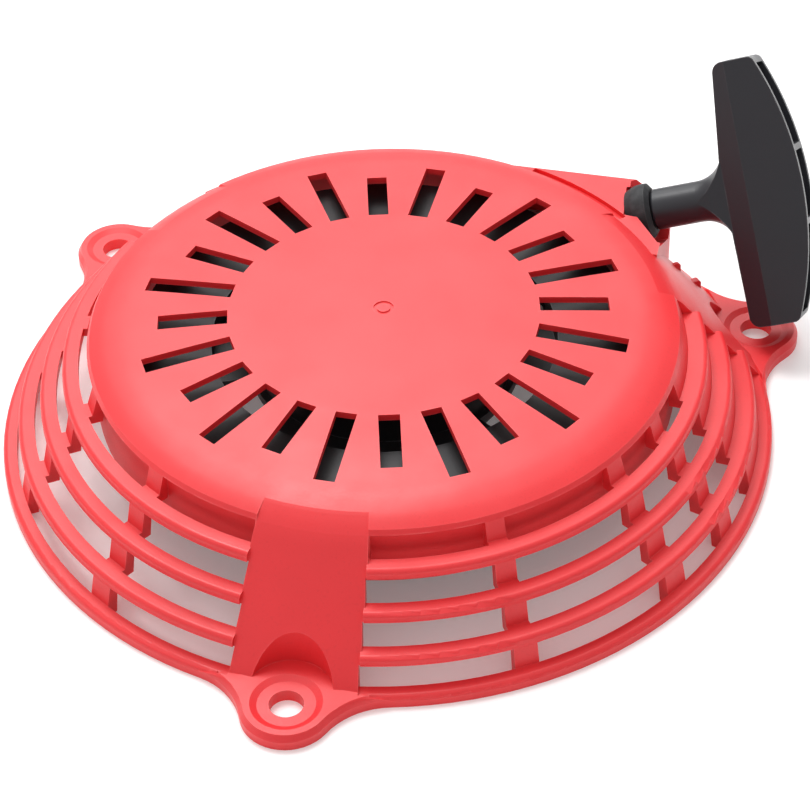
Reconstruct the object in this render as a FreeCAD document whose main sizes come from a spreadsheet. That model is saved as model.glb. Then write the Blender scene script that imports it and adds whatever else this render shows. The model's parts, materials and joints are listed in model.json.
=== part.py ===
import FreeCAD, Part
import math
import os
import Sketcher
from FreeCAD import Placement, Rotation, Vector

# Recoil starter. Origin: centre of the mounting face on the crank axis. +Z points up through the crown.
# Every length is in mm and every angle in degrees.
DRIVING = [
    ("crown_height", 37.1, "top of the crown above the mounting face"),
    ("crown_drop", 2.2, "fall of the crown from its centre to the end of the long slots"),
    ("plate", 1.8, "thickness of the crown plate"),
    ("wall", 2.4, "thickness of the skirt walls"),
    ("dome_radius", 72.6, "lower edge of the dome"),
    ("dome_edge", 30.9, "height of the dome's lower edge"),
    ("shoulder_radius", 28.7, "rounding between the crown and the dome edge"),
    ("slot_inner", 38.0, "inner end of every crown slot"),
    ("slot_long", 60.0, "outer end of the long slots"),
    ("slot_short", 55.0, "outer end of the short slots"),
    ("slot_width", 5.1, "width of a crown slot"),
    ("slot_pairs", 12, "long slots, with a short slot between each two"),
    ("tier_radius", 74.2, "inner edge of the first louvre ring"),
    ("tier_height", 26.1, "top of the first louvre ring"),
    ("tier_step", 6.2, "outward step from ring to ring"),
    ("tier_drop", 7.6, "downward step from ring to ring"),
    ("tier_depth", 5.0, "width of a louvre ring"),
    ("tier_thick", 2.4, "thickness of a louvre ring"),
    ("tier_gap", 1.0, "set-back of a ring's inner edge inside the openings"),
    ("rim_rounding", 1.3, "rounding of the louvre rings and the flange"),
    ("flange_radius", 96.2, "outside of the mounting flange"),
    ("flange_thick", 3.3, "thickness of the mounting flange"),
    ("bolt_circle", 200.0, "diameter through the fixing holes"),
    ("bolt_hole", 8.0, "diameter of a fixing hole"),
    ("lug_radius", 10.8, "rounded end of a lug"),
    ("lug_thick", 4.0, "thickness of a lug"),
    ("lug_blend", 18.0, "hollow corner between a lug and the flange"),
    ("lug_edge", 2.4, "height at which a lug's edge starts to slope inwards"),
    ("seat_radius", 8.3, "rim of the dished seat round a fixing hole"),
    ("seat_floor", 3.3, "floor of that seat"),
    ("pillar_angle", 20.6, "angular width of the plain wall above a lug"),
    ("pillar_taper", 0.4, "narrowing of that wall on each side from tier to tier, as an angle"),
    ("side_wall_centre", 44.5, "direction of the plain wall between the right lug and the rope duct"),
    ("side_wall_angle", 8.5, "angular width of that wall"),
    ("wall_blend", 15.8, "rounding between the dome's shoulder and a plain wall"),
    ("recess_radius", 9.9, "bolt head recess in a pillar"),
    ("recess_centre", 97.2, "distance of the recess centre from the axis"),
    ("chamber_radius", 69.3, "inside of the reel chamber wall"),
    ("chamber_wall", 2.2, "thickness of the chamber wall"),
    ("chamber_bottom", 15.6, "lower edge of the chamber wall"),
    ("post_radius", 7.5, "bearing post for the reel"),
    ("post_step", 2.0, "shoulder above the reel bearing"),
    ("post_shoulder", 19.9, "height of that shoulder"),
    ("post_end_radius", 5.0, "bearing for the ratchet guide"),
    ("post_end_top", 11.6, "top of the guide bearing"),
    ("post_end", 6.9, "lower end of the post"),
    ("running_gap", 0.06, "radial clearance of every running fit"),
    ("screw_radius", 3.0, "shank of the setting screw"),
    ("insert_radius", 4.0, "outside of the threaded insert"),
    ("insert_bottom", 12.0, "lower end of the insert"),
    ("insert_top", 23.0, "upper end of the insert"),
    ("rope_radius", 1.75, "radius of the rope"),
    ("rope_height", 24.2, "height of the rope on the reel"),
    ("rope_pitch", 3.6, "spacing of the rope turns"),
    ("rope_inner", 46.4, "first turn of the rope"),
    ("rope_outer", 56.6, "last turn of the rope"),
    ("knot_radius", 3.0, "knot at the inner end of the rope"),
    ("knot_centre", 39.2, "distance of that knot from the axis"),
    ("reel_radius", 61.3, "outside of the reel"),
    ("reel_floor", 44.6, "bottom of the rope groove"),
    ("reel_flange", 2.2, "thickness of the reel flanges"),
    ("groove_width", 4.2, "width of the rope groove"),
    ("drum_radius", 31.8, "outside of the spring drum"),
    ("drum_inner", 30.0, "inside of the spring drum"),
    ("drum_bottom", 17.2, "underside of the drum"),
    ("drum_floor", 19.5, "inside floor of the drum"),
    ("drum_top", 30.2, "rim of the drum"),
    ("hub_radius", 10.6, "hub under the drum"),
    ("hub_bottom", 13.2, "lower end of the hub"),
    ("window_inner", 33.4, "inner edge of the reel windows"),
    ("window_outer", 42.3, "outer edge of the reel windows"),
    ("window_angle", 30.0, "angular width of a reel window"),
    ("window_centre", 221.0, "direction of the first reel window"),
    ("spring_thick", 0.8, "thickness of the recoil spring strip"),
    ("spring_width", 9.0, "width of the strip"),
    ("spring_inner", 11.4, "first turn of the recoil spring"),
    ("spring_outer", 28.2, "last turn of the recoil spring"),
    ("spring_turns", 7, "turns of the recoil spring"),
    ("pawl_pivot", 20.5, "distance of a pawl pivot from the axis"),
    ("pawl_boss", 2.6, "radius of a pawl pivot"),
    ("pawl_bottom", 12.0, "underside of a pawl"),
    ("pawl_thick", 3.2, "thickness of a pawl"),
    ("pawl_swing", 28.0, "outward swing of a pawl"),
    ("pin_radius", 1.3, "cam pin of a pawl"),
    ("guide_radius", 25.5, "outside of the ratchet guide"),
    ("guide_bottom", 7.1, "underside of the ratchet guide"),
    ("guide_thick", 4.1, "thickness of the ratchet guide"),
    ("guide_swing", 30.0, "turn of the guide against the reel"),
    ("wire_radius", 0.6, "wire of the friction spring"),
    ("friction_ring", 10.4, "ring radius of the friction spring"),
    ("fine_wire", 0.4, "wire radius of the pawl springs"),
    ("exit_x", 55.1, "rope outlet, across the housing"),
    ("exit_y", 61.6, "rope outlet, towards the back"),
    ("exit_z", 28.2, "rope outlet, height"),
    ("exit_yaw", 5.0, "direction of the rope outlet from +X"),
    ("exit_tilt", 17.5, "upward tilt of the rope outlet"),
    ("duct_side", 70.6, "outside of the rope duct"),
    ("duct_end", 61.0, "end wall of the rope duct"),
    ("duct_top", 31.2, "top of the rope duct"),
    ("bush_radius", 7.1, "largest radius of the outlet bush"),
    ("bush_neck", 4.5, "neck of the outlet bush"),
    ("grip_roll", 32.0, "turn of the grip bar about the rope"),
    ("grip_half", 34.0, "half the length of the grip bar"),
    ("grip_start", 2.3, "front end of the stem, from the outlet"),
    ("grip_front", 21.8, "front of the bar"),
    ("grip_back", 42.2, "back of the bar"),
    ("grip_tip_front", 24.8, "front of the bar at its upper end"),
    ("grip_low_front", 22.6, "front of the bar at its lower end"),
    ("grip_tip_back", 35.2, "back of the bar at its ends"),
    ("grip_thick", 13.6, "thickness of the bar"),
    ("grip_nose", 9.0, "thickness of the bar along its front edge"),
    ("grip_crease", 6.0, "depth of the slope behind that edge"),
    ("stem_radius", 5.3, "radius of the stem"),
    ("stem_flare", 8.0, "hollow rounding between the stem and the bar"),
    ("grip_wall", 1.9, "shell thickness of the bar"),
    ("grip_floor", 28.0, "floor of the hollow in the bar"),
]

WINDOWS = [(280.5, 301.3), (304.9, 327.8), (331.8, 341.9), (345.6, 354.4),
           (160.5, 183.6), (187.4, 209.1), (212.9, 234.8), (238.6, 259.5),
           (74.0, 93.5), (97.0, 116.5), (120.0, 139.5)]

doc = FreeCAD.newDocument("recoil_starter")
PARTS = []


class Size:
    """A number together with the spreadsheet expression that gives it."""

    def __init__(self, value, text):
        self.value = float(value)
        self.text = text

    def __add__(self, other):
        other = sized(other)
        return Size(self.value + other.value, f"({self.text} + {other.text})")

    def __sub__(self, other):
        other = sized(other)
        return Size(self.value - other.value, f"({self.text} - {other.text})")

    def __mul__(self, factor):
        factor = sized(factor)
        return Size(self.value * factor.value, f"({self.text} * {factor.text})")

    def __truediv__(self, divisor):
        divisor = sized(divisor)
        return Size(self.value / divisor.value, f"({self.text} / {divisor.text})")

    def __neg__(self):
        return Size(-self.value, f"(0 - {self.text})")


def sized(number):
    """Wraps a plain number as a Size."""
    if isinstance(number, Size):
        return number
    return Size(number, f"{number:.6f}")


class Dimensions:
    """The driving dimensions, each one an attribute that points at its spreadsheet cell."""


def make_sheet():
    """Writes the driving dimensions into the spreadsheet and returns them as sizes."""
    sheet = doc.addObject("Spreadsheet::Sheet", "dims")
    sizes = Dimensions()
    for row, (name, value, note) in enumerate(DRIVING, start=1):
        sheet.set(f"A{row}", str(value))
        sheet.setAlias(f"A{row}", name)
        sheet.set(f"B{row}", note)
        setattr(sizes, name, Size(value, f"dims.{name}"))
    doc.recompute()
    return sizes


d = make_sheet()


def new_body(label, placement=None):
    """An empty body that becomes one named piece."""
    body = doc.addObject("PartDesign::Body", label)
    body.Label = label
    if placement is not None:
        body.Placement = placement
    PARTS.append(body)
    return body


def new_sketch(body, plane, name, offset=None):
    """A sketch on one of the body's own origin planes, moved by an optional offset."""
    sketch = body.newObject("Sketcher::SketchObject", name)
    support = [f for f in body.Origin.OriginFeatures if f.Role == plane][0]
    sketch.AttachmentSupport = [(support, "")]
    sketch.MapMode = "FlatFace"
    if offset is not None:
        sketch.AttachmentOffset = offset
    return sketch


def level(sketch, height):
    """Raises a sketch on the XY plane to a height taken from the spreadsheet."""
    sketch.setExpression("AttachmentOffset.Base.z", sized(height).text)


def pin_one(sketch, index, end, kind, size):
    """Fixes one coordinate of a sketch point, bound to its expression."""
    size = sized(size)
    number = sketch.addConstraint(Sketcher.Constraint(kind, -1, 1, index, end, size.value))
    sketch.setExpression(f"Constraints[{number}]", size.text)


def pin_point(sketch, index, end, x, y):
    """Fixes one end of a sketch element at bound coordinates."""
    pin_one(sketch, index, end, "DistanceX", x)
    pin_one(sketch, index, end, "DistanceY", y)


def arc_between(start, end, radius):
    """The short arc from start to end. A positive radius turns to the left."""
    (x0, y0), (x1, y1) = start, end
    half = math.hypot(x1 - x0, y1 - y0) / 2
    rise = math.sqrt(max(radius * radius - half * half, 0.0))
    side = 1 if radius > 0 else -1
    cx = (x0 + x1) / 2 - side * rise * (y1 - y0) / (2 * half)
    cy = (y0 + y1) / 2 + side * rise * (x1 - x0) / (2 * half)
    first = math.atan2(y0 - cy, x0 - cx)
    last = math.atan2(y1 - cy, x1 - cx)
    if side < 0:
        first, last = last, first
    circle = Part.Circle(Vector(cx, cy, 0), Vector(0, 0, 1), abs(radius))
    return Part.ArcOfCircle(circle, first, last)


def draw_loop(sketch, corners):
    """Draws a closed loop. Each corner is (x, y) or (x, y, radius of the arc to the next corner)."""
    points = [(sized(c[0]), sized(c[1])) for c in corners]
    ends = []
    for i, corner in enumerate(corners):
        start = points[i]
        end = points[(i + 1) % len(points)]
        p0 = (start[0].value, start[1].value)
        p1 = (end[0].value, end[1].value)
        if len(corner) == 3:
            radius = sized(corner[2])
            index = sketch.addGeometry(arc_between(p0, p1, radius.value), False)
            first, last = (1, 2) if radius.value > 0 else (2, 1)
            if abs(math.dist(p0, p1) - 2 * abs(radius.value)) < 1e-6:
                upright = abs(p1[0] - p0[0]) < abs(p1[1] - p0[1])
                kind, middle = ("DistanceX", 0) if upright else ("DistanceY", 1)
                pin_one(sketch, index, 3, kind, (start[middle] + end[middle]) * 0.5)
            else:
                number = sketch.addConstraint(Sketcher.Constraint("Radius", index, abs(radius.value)))
                sketch.setExpression(f"Constraints[{number}]", f"abs({radius.text})")
        else:
            index = sketch.addGeometry(Part.LineSegment(Vector(*p0, 0), Vector(*p1, 0)), False)
            first, last = 1, 2
        pin_point(sketch, index, first, *start)
        ends.append((index, first, last))
    for i, (index, _, last) in enumerate(ends):
        after, first, _ = ends[(i + 1) % len(ends)]
        sketch.addConstraint(Sketcher.Constraint("Coincident", index, last, after, first))


def draw_circle(sketch, x, y, radius):
    """Draws a circle with a bound centre and radius."""
    x, y, radius = sized(x), sized(y), sized(radius)
    circle = Part.Circle(Vector(x.value, y.value, 0), Vector(0, 0, 1), radius.value)
    index = sketch.addGeometry(circle, False)
    pin_point(sketch, index, 3, x, y)
    number = sketch.addConstraint(Sketcher.Constraint("Radius", index, radius.value))
    sketch.setExpression(f"Constraints[{number}]", radius.text)


def draw_box(sketch, x0, y0, x1, y1):
    """Draws a rectangle between two bound corners."""
    draw_loop(sketch, [(x0, y0), (x1, y0), (x1, y1), (x0, y1)])


def feature(body, kind, sketch, name, **settings):
    """Adds a sketch-based feature. A setting given as a Size is bound to its cell."""
    made = body.newObject(f"PartDesign::{kind}", name)
    made.Profile = sketch
    made.Refine = False
    for key, value in settings.items():
        if isinstance(value, Size):
            setattr(made, key, value.value)
            made.setExpression(key, value.text)
        else:
            setattr(made, key, value)
    sketch.Visibility = False
    return made


def spin(body, sketch, name, kind="Revolution", axis="V_Axis", **settings):
    """A revolution or groove about one of the sketch's own axes."""
    return feature(body, kind, sketch, name, ReferenceAxis=(sketch, [axis]), **settings)


def ring_pattern(body, originals, name, count):
    """Repeats features evenly round the Z axis."""
    pattern = body.newObject("PartDesign::PolarPattern", name)
    pattern.Originals = originals
    pattern.Refine = False
    axis = [f for f in body.Origin.OriginFeatures if f.Role == "Z_Axis"][0]
    pattern.Axis = (axis, [""])
    pattern.Angle = 360
    pattern.Occurrences = int(sized(count).value)
    pattern.setExpression("Occurrences", sized(count).text)
    body.Tip = pattern


def round_circles(body, base, name, radius, rings):
    """Rounds the full circular edges that lie at the given (radius, height) pairs."""
    doc.recompute()
    names = []
    for number, edge in enumerate(base.Shape.Edges, start=1):
        if edge.Degenerated or not isinstance(edge.Curve, Part.Circle):
            continue
        curve = edge.Curve
        for ring_radius, height in rings:
            if abs(curve.Radius - ring_radius.value) < 0.01 and abs(curve.Center.z - height.value) < 0.01:
                names.append(f"Edge{number}")
    fillet = body.newObject("PartDesign::Fillet", name)
    fillet.Base = (base, names)
    fillet.setExpression("Radius", radius.text)


def turned(angle):
    """An offset that swings a sketch on the XZ plane about the Z axis."""
    return Placement(Vector(), Rotation(Vector(0, 1, 0), angle))


def outlet_axes():
    """Unit vectors of the rope outlet: along the rope, along the grip bar, and across both."""
    yaw = math.radians(d.exit_yaw.value)
    tilt = math.radians(d.exit_tilt.value)
    roll = math.radians(d.grip_roll.value)
    along = Vector(math.cos(tilt) * math.cos(yaw), math.cos(tilt) * math.sin(yaw), math.sin(tilt))
    level_side = Vector(-math.sin(yaw), math.cos(yaw), 0)
    upright = along.cross(level_side)
    bar = upright * math.cos(roll) + level_side * math.sin(roll)
    return along, bar, along.cross(bar)


ALONG, BAR, ACROSS = outlet_axes()
OUTLET = Vector(d.exit_x.value, d.exit_y.value, d.exit_z.value)
OUTLET_FRAME = Placement(OUTLET, Rotation(BAR, ACROSS, ALONG, "ZXY"))
GRIP_FRAME = Placement(OUTLET, Rotation(ALONG, -ACROSS, BAR, "XZY"))


def outlet_offset(distance):
    """A plane square to the rope at a distance along it from the outlet."""
    return Placement(OUTLET + ALONG * distance, OUTLET_FRAME.Rotation)


# ---------------------------------------------------------------- housing

def ring_inner(i):
    """Inner radius of a louvre ring, counted outwards from 0."""
    return d.tier_radius + d.tier_step * i


def ring_top(i):
    """Height of a louvre ring's upper face."""
    return d.tier_height - d.tier_drop * i


def ring_under(i):
    """Height of a louvre ring's underside."""
    return ring_top(i) - d.tier_thick


def shell_profile():
    """The stepped half section: crown, dome shoulder, three louvre rings and the flange."""
    crown_edge = d.crown_height - d.crown_drop
    crown_arc = -(d.slot_long.value ** 2 + d.crown_drop.value ** 2) / (2 * d.crown_drop.value)
    profile = [(0, d.crown_height, crown_arc),
               (d.slot_long, crown_edge, -d.shoulder_radius),
               (d.dome_radius - 0.7, d.dome_edge + 1.2),
               (d.dome_radius, d.dome_edge)]
    for i in range(3):
        profile += [(ring_inner(i), ring_top(i)),
                    (ring_inner(i) + d.tier_depth, ring_top(i)),
                    (ring_inner(i) + d.tier_depth, ring_under(i))]
    profile += [(ring_inner(3), d.flange_thick),
                (d.flange_radius, d.flange_thick),
                (d.flange_radius, 0),
                (ring_inner(3) - d.wall, 0)]
    for i in (2, 1, 0):
        profile += [(ring_inner(i) + d.tier_depth - d.wall, ring_under(i)),
                    (ring_inner(i) - d.wall, ring_under(i))]
    profile += [(d.dome_radius - d.wall, d.dome_edge),
                (d.chamber_radius - 1.0, d.dome_edge),
                (d.slot_long, crown_edge - d.plate, -crown_arc),
                (0, d.crown_height - d.plate)]
    return profile


def add_shell(body):
    """Turned shell of the housing with the outer corners of its rings rounded."""
    sketch = new_sketch(body, "XZ_Plane", "shell_section")
    draw_loop(sketch, shell_profile())
    shell = spin(body, sketch, "shell")
    rims = [(ring_inner(i) + d.tier_depth, ring_top(i)) for i in range(3)]
    round_circles(body, shell, "rounded_rims", d.rim_rounding, rims + [(d.flange_radius, d.flange_thick)])


def lug_outline():
    """Plan of the lug that points to -Y, blended into the flange by hollow corners."""
    reach = d.bolt_circle.value / 2
    flange = d.flange_radius.value
    end = d.lug_radius.value
    blend = d.lug_blend.value
    far = flange + blend
    swing = math.acos((far ** 2 + reach ** 2 - (end + blend) ** 2) / (2 * far * reach))
    corner = Vector(far * math.sin(swing), -far * math.cos(swing), 0)
    foot = corner * (flange / far)
    centre = Vector(0, -reach, 0)
    tip = centre + (corner - centre) * (end / (end + blend))
    return [(-foot.x, foot.y, -blend), (-tip.x, tip.y, d.lug_radius), (tip.x, tip.y, -blend),
            (foot.x, foot.y), (foot.x - 1.5, 3.0 - flange), (1.5 - foot.x, 3.0 - flange)]


def wall_face(height):
    """Radius of the plain walls' sloping outer face at a height."""
    return d.dome_radius + 0.3 + (d.dome_edge - height) * (d.tier_step / d.tier_drop)


def wall_top():
    """The rounding that leads from the dome's shoulder onto a plain wall."""
    low = d.dome_edge - 2.1
    return [(d.dome_radius - 4.0, d.dome_edge + 2.45, -d.wall_blend), (wall_face(low), low)]


def add_plain_wall(body, name, centre, width):
    """A plain sloping wall over one sector, blended into the dome's shoulder."""
    foot = wall_face(d.flange_thick)
    inner = foot - d.wall
    section = new_sketch(body, "XZ_Plane", f"{name}_section", turned(sized(centre).value))
    draw_loop(section, wall_top() + [(foot, d.flange_thick), (foot, 0), (inner, 0), (inner, d.flange_thick),
                                     (wall_face(d.dome_edge) - d.wall, d.dome_edge)])
    return spin(body, section, name, Angle=width, Midplane=True)


def trim_wall(body, name, centre, width, low, high=None):
    """Takes off whatever stands proud of a plain wall between two heights, or from its top down."""
    far = d.flange_radius + 8.0
    if high is None:
        above = d.dome_edge + 3.05
        corners = [(d.dome_radius - 5.4, above)] + wall_top()
    else:
        above = high
        corners = [(wall_face(high), high)]
    section = new_sketch(body, "XZ_Plane", f"{name}_section", turned(sized(centre).value))
    draw_loop(section, corners + [(wall_face(low), low), (far, low), (far, above)])
    return spin(body, section, name, kind="Groove", Angle=width, Midplane=True)


def add_pillars(body):
    """Three plain walls over the lugs, each backed by an arched block for the bolt head recess."""
    arch = new_sketch(body, "XY_Plane", "arch_plan")
    outer = d.recess_radius + d.wall
    draw_loop(arch, [(outer, -d.recess_centre, outer), (-outer, -d.recess_centre)])
    block = feature(body, "Pad", arch, "arch_block", Length=19.0)
    wall = add_plain_wall(body, "pillar", 270, d.pillar_angle)
    trims = [trim_wall(body, "pillar_trim", 270, d.pillar_angle - d.pillar_taper * 6, d.flange_thick),
             trim_wall(body, "head_trim", 270, d.pillar_angle, ring_top(0) + 0.6)]
    for i in range(3):
        width = d.pillar_angle - d.pillar_taper * (2 * i + 1)
        trims.append(trim_wall(body, f"ring_trim_{i}", 270, width, ring_under(i) - 1.0, ring_top(i) + 0.3))
    ring_pattern(body, [block, wall] + trims, "pillars", 3)

    add_plain_wall(body, "side_wall", d.side_wall_centre, d.side_wall_angle)
    trim_wall(body, "side_wall_trim", d.side_wall_centre, d.side_wall_angle, d.flange_thick)


def add_lugs(body):
    """Three fixing lugs with a sloping upper edge, a recess for the bolt head and a dished seat."""
    reach = d.bolt_circle * 0.5
    plan = new_sketch(body, "XY_Plane", "lug_plan")
    draw_loop(plan, lug_outline())
    lug = feature(body, "Pad", plan, "lug", Length=d.lug_edge)
    plan = new_sketch(body, "XY_Plane", "lug_top_plan")
    level(plan, d.lug_edge)
    draw_loop(plan, lug_outline())
    top = feature(body, "Pad", plan, "lug_top", Length=d.lug_thick - d.lug_edge, TaperAngle=-30)
    ring_pattern(body, [lug, top], "lugs", 3)

    arch = new_sketch(body, "XY_Plane", "recess_plan")
    level(arch, d.lug_thick)
    draw_loop(arch, [(-d.recess_radius, -d.recess_centre), (-d.recess_radius, -130),
                     (d.recess_radius, -130), (d.recess_radius, -d.recess_centre, d.recess_radius)])
    recess = feature(body, "Pocket", arch, "bolt_recess", Length=30.0, Reversed=True)
    ring_pattern(body, [recess], "bolt_recesses", 3)

    section = new_sketch(body, "XZ_Plane", "seat_section", Placement(Vector(0, 0, reach.value), Rotation()))
    draw_loop(section, [(0, d.seat_floor), (d.seat_radius - 1.6, d.seat_floor), (d.seat_radius, d.lug_thick),
                        (d.seat_radius, d.lug_thick + 1), (0, d.lug_thick + 1)])
    seat = spin(body, section, "bolt_seat", kind="Groove")
    ring_pattern(body, [seat], "bolt_seats", 3)

    plan = new_sketch(body, "XY_Plane", "hole_plan")
    draw_circle(plan, 0, -reach, d.bolt_hole * 0.5)
    hole = feature(body, "Pocket", plan, "bolt_hole", Length=20.0, Reversed=True)
    ring_pattern(body, [hole], "bolt_holes", 3)


def add_slots(body):
    """Long and short cooling slots round the crown."""
    for name, outer, swing in (("long_slot", d.slot_long, 0), ("short_slot", d.slot_short, 15)):
        offset = Placement(Vector(0, 0, 28), Rotation(Vector(0, 0, 1), swing))
        plan = new_sketch(body, "XY_Plane", f"{name}_plan", offset)
        draw_box(plan, d.slot_inner, d.slot_width * -0.5, outer, d.slot_width * 0.5)
        slot = feature(body, "Pocket", plan, name, Length=20.0, Reversed=True)
        ring_pattern(body, [slot], f"{name}s", d.slot_pairs)


def louvre_lip(i):
    """Radius of a ring's inner edge inside the openings, and the heights of its top and underside."""
    if i == 3:
        return ring_inner(i), d.flange_thick, Size(0, "0") - 1
    return ring_inner(i) + d.tier_gap, ring_top(i), ring_under(i) - 0.5


def louvre_loop(i):
    """Section of one opening: from the ring above down past the inner edge of the ring below."""
    inner = ring_inner(i)
    back = d.chamber_radius + d.chamber_wall if i == 0 else inner - 5.0
    above = d.dome_edge if i == 0 else ring_under(i - 1)
    lip, ledge, below = louvre_lip(i)
    return [(back, below), (lip, below), (lip, ledge), (inner + 2.0, ledge), (inner + 2.0, above), (back, above)]


def polar_box(inner, outer, first, last):
    """Corners of a four-sided patch between two radii and two directions."""
    turns = [math.radians(first), math.radians(last)]
    return [(r * math.cos(t), r * math.sin(t))
            for r, t in ((inner, turns[0]), (outer, turns[0]), (outer, turns[1]), (inner, turns[1]))]


def trim_flanks(body):
    """Narrows the two open pillars tier by tier inside the openings beside them."""
    half = d.pillar_angle.value / 2
    for i in (1, 2, 3):
        lip, ledge, below = louvre_lip(i)
        inner = ring_inner(i).value
        for name, bottom, outer in (("flank", ledge, inner + 3.4), ("flank_lip", below, lip.value)):
            plan = new_sketch(body, "XY_Plane", f"{name}_plan_{i}")
            level(plan, bottom)
            for centre in (150, 270):
                for side in (-1, 1):
                    near = centre + side * (half - d.pillar_taper.value * i)
                    draw_loop(plan, polar_box(inner - 5, outer, near, centre + side * (half + 0.3)))
            feature(body, "Pocket", plan, f"{name}_{i}", Length=ring_under(i - 1) - bottom, Reversed=True)


def add_louvres(body):
    """Openings through the four risers, one sector at a time, leaving the ribs."""
    for number, (start, end) in enumerate(WINDOWS, start=1):
        section = new_sketch(body, "XZ_Plane", f"louvre_section_{number}", turned((start + end) / 2))
        for i in range(4):
            draw_loop(section, louvre_loop(i))
        spin(body, section, f"louvre_{number}", kind="Groove", Angle=end - start, Midplane=True)
    trim_flanks(body)


def add_inside(body):
    """Reel chamber wall, the bearing post with the seat for its insert, and the ring left by the moulding gate."""
    section = new_sketch(body, "XZ_Plane", "inside_section")
    ceiling = d.crown_height - 1.5
    shoulder = d.post_radius + d.post_step
    draw_box(section, d.chamber_radius, d.chamber_bottom, d.chamber_radius + d.chamber_wall, d.dome_edge + 0.3)
    draw_loop(section, [(0, ceiling), (0, d.post_end), (d.post_end_radius, d.post_end),
                        (d.post_end_radius, d.post_end_top), (d.post_radius, d.post_end_top),
                        (d.post_radius, d.post_shoulder), (shoulder, d.post_shoulder), (shoulder, ceiling)])
    spin(body, section, "inside")

    bore = new_sketch(body, "XZ_Plane", "bore_section")
    clear = d.screw_radius + 0.2
    draw_loop(bore, [(0, d.post_end - 1), (clear, d.post_end - 1), (clear, d.insert_bottom),
                     (d.insert_radius, d.insert_bottom), (d.insert_radius, d.insert_top), (0, d.insert_top)])
    spin(body, bore, "screw_bore", kind="Groove")

    mark = new_sketch(body, "XY_Plane", "gate_mark_plan")
    level(mark, d.crown_height - 0.35)
    for radius in (1.6, 2.5):
        draw_circle(mark, 0, 0, radius)
    feature(body, "Pocket", mark, "gate_mark", Length=2.0, Reversed=True)

    plan = new_sketch(body, "XY_Plane", "hook_plan")
    level(plan, d.post_shoulder + 0.2)
    draw_box(plan, 5.4, -0.8, 11.0, 0.8)
    feature(body, "Pocket", plan, "spring_slot", Length=d.spring_width + 0.8, Reversed=True)


def add_duct(body):
    """Rope duct at the back right: a block on the dome, hollow underneath, with the outlet seat."""
    side, end = d.duct_side, d.duct_end
    plan = new_sketch(body, "XY_Plane", "duct_plan")
    draw_loop(plan, [(12, side), (13.5, 62.8), (30, 57.1), (42, 48.9), (50, 40.6), (end, 40.6),
                     (end, side - 3), (end - 3, side)])
    feature(body, "Pad", plan, "duct_block", Length=d.duct_top)

    hollow = new_sketch(body, "XY_Plane", "duct_hollow_plan")
    inner = side - d.wall
    draw_loop(hollow, [(18, inner), (18, 62.9), (30, 58.7), (46, 47.4), (46, inner)])
    feature(body, "Pocket", hollow, "duct_hollow", Length=d.duct_top - d.plate, Reversed=True)
    hollow = new_sketch(body, "XY_Plane", "end_hollow_plan")
    inside = end - d.wall
    draw_loop(hollow, [(49, inner), (49, 45.0), (inside, 45.0), (inside, inner - 2.0), (inside - 2.0, inner)])
    feature(body, "Pocket", hollow, "end_hollow", Length=14.0, Reversed=True)

    groove = new_sketch(body, "XZ_Plane", "dome_groove_section", turned(59.0))
    draw_box(groove, d.dome_radius - 0.2, d.duct_top - 1.2, d.dome_radius + 2.0, d.duct_top + 1.0)
    spin(body, groove, "dome_groove", kind="Groove", Angle=24.0, Midplane=True)

    floor = Placement(OUTLET - BAR * 8.5, Rotation(ALONG, -ACROSS, BAR, "ZXY"))
    step = new_sketch(body, "XY_Plane", "nose_recess_plan", floor)
    draw_loop(step, [(0.5, 7.6), (-3.5, 5.0), (-3.5, -4.0), (4.5, -14.8), (9.0, -14.8), (9.0, 7.6)])
    feature(body, "Pocket", step, "nose_recess", Length=40.0, Reversed=True)
    for name, radius, start in (("nose_seat", d.bush_radius + 0.3, -4.4),
                                ("neck_seat", d.bush_neck + 0.05, -9.1),
                                ("rope_hole", d.rope_radius + 1.4, -14.0)):
        plan = new_sketch(body, "XY_Plane", f"{name}_plan", outlet_offset(start))
        draw_circle(plan, 0, 0, radius)
        feature(body, "Pocket", plan, name, Length=25.0, Reversed=True)

    gate = new_sketch(body, "XY_Plane", "rope_gate_plan")
    level(gate, d.rope_height - 3.2)
    draw_box(gate, 14, 53.0, 45.9, 62.0)
    feature(body, "Pocket", gate, "rope_gate", Length=6.4, Reversed=True)


def make_housing():
    """The one-piece moulded housing."""
    body = new_body("housing")
    add_shell(body)
    add_slots(body)
    add_pillars(body)
    add_lugs(body)
    add_inside(body)
    add_duct(body)
    add_louvres(body)


# ---------------------------------------------------------------- centre fixings

def make_insert():
    """Threaded brass insert in the end of the post."""
    body = new_body("centre_insert")
    section = new_sketch(body, "XZ_Plane", "insert_section")
    draw_box(section, d.screw_radius + 0.05, d.insert_bottom, d.insert_radius, d.insert_top - 0.2)
    spin(body, section, "insert")


def make_screw():
    """Setting screw with a broad washer face under a hexagon head."""
    body = new_body("setting_screw")
    section = new_sketch(body, "XZ_Plane", "screw_section")
    face = d.post_end - 1.3
    draw_loop(section, [(0, face - 1.5), (7.6, face - 1.5), (8.2, face - 0.9), (8.2, face),
                        (d.screw_radius, face), (d.screw_radius, d.insert_top - 1.5),
                        (d.screw_radius - 0.6, d.insert_top - 0.9), (0, d.insert_top - 0.9)])
    spin(body, section, "shank")
    plan = new_sketch(body, "XY_Plane", "hexagon_plan")
    level(plan, face - 4.6)
    directions = [math.radians(60 * i) for i in range(6)]
    draw_loop(plan, [(5.77 * math.cos(a), 5.77 * math.sin(a)) for a in directions])
    feature(body, "Pad", plan, "hexagon", Length=3.5)


def make_washer():
    """Steel thrust washer between the screw and the ratchet guide."""
    body = new_body("thrust_washer")
    section = new_sketch(body, "XZ_Plane", "washer_section")
    draw_box(section, d.screw_radius + 0.15, d.post_end - 1.25, 8.8, d.post_end - 0.05)
    spin(body, section, "washer")


# ---------------------------------------------------------------- reel

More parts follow.
